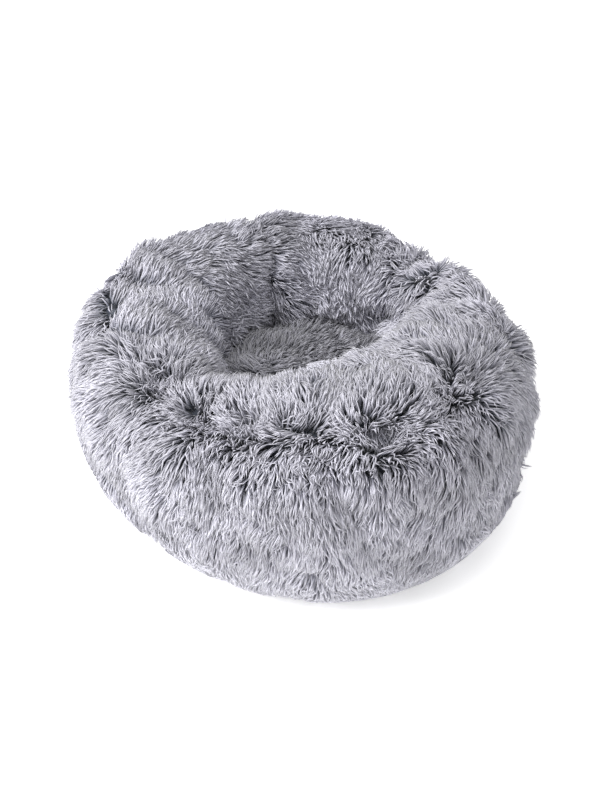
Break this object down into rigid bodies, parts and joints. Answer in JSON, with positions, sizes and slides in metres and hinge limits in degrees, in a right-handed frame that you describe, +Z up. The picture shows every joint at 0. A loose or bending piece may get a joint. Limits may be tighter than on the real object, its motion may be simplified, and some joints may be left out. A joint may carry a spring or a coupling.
{
  "type": "pet cushion bed",
  "caption": "Round long-pile pet cushion bed: filled bolster ring round a deep filled seat, cloth base, zip in the rear of the base seam.",
  "frame": {"origin": "on the floor, on the underside of the base cloth at the middle of the bed's outline curve", "axes": "+Z up; -Y is the front, where the bolster is fattest; +X is the bed's right seen from the front"},
  "size_m": [0.4991, 0.517, 0.237],
  "materials": {
    "long_pile_fur": "long-pile faux fur, dark roots and pale tips",
    "oxford_cloth": "plain weave oxford with printed anti-slip dots",
    "nonwoven": "bonded nonwoven",
    "fibre_filling": "loose polyester fibre",
    "zip_tape": "twill tape",
    "zip_coil": "coiled monofilament",
    "zip_metal": "plated zinc",
    "label_cloth": "blank satin label"
  },
  "bodies": {
    "cushion": {"base_cloth": "oxford_cloth", "bolster_filling": "fibre_filling", "bolster_liner": "nonwoven", "care_label": "label_cloth", "outer_wall_fur": "long_pile_fur", "rim_gore_front_left": "long_pile_fur", "rim_gore_front_right": "long_pile_fur", "rim_gore_left": "long_pile_fur", "rim_gore_rear": "long_pile_fur", "rim_gore_right": "long_pile_fur", "seat_filling": "fibre_filling", "seat_fur": "long_pile_fur", "seat_liner": "nonwoven", "seat_wall_cloth": "nonwoven", "zip_bottom_stop": "zip_metal", "zip_coil_lower": "zip_coil", "zip_coil_upper": "zip_coil", "zip_tape_lower": "zip_tape", "zip_tape_upper": "zip_tape", "zip_top_stops": "zip_metal"},
    "slider": {"zip_slider": "zip_metal"},
    "pull": {"zip_pull": "zip_metal"}
  },
  "joints": [
    {"name": "zip_run", "type": "hinge", "parent": "cushion", "child": "slider", "pos_m": [-0.01, 0.002, 0.022], "axis": [0, 0, 1], "range_deg": [0, 90]},
    {"name": "pull_swing", "type": "hinge", "parent": "slider", "child": "pull", "pos_m": [0.15781, 0.15848, 0.022], "axis": [0, 0, -1], "range_deg": [0, 150]}
  ]
}
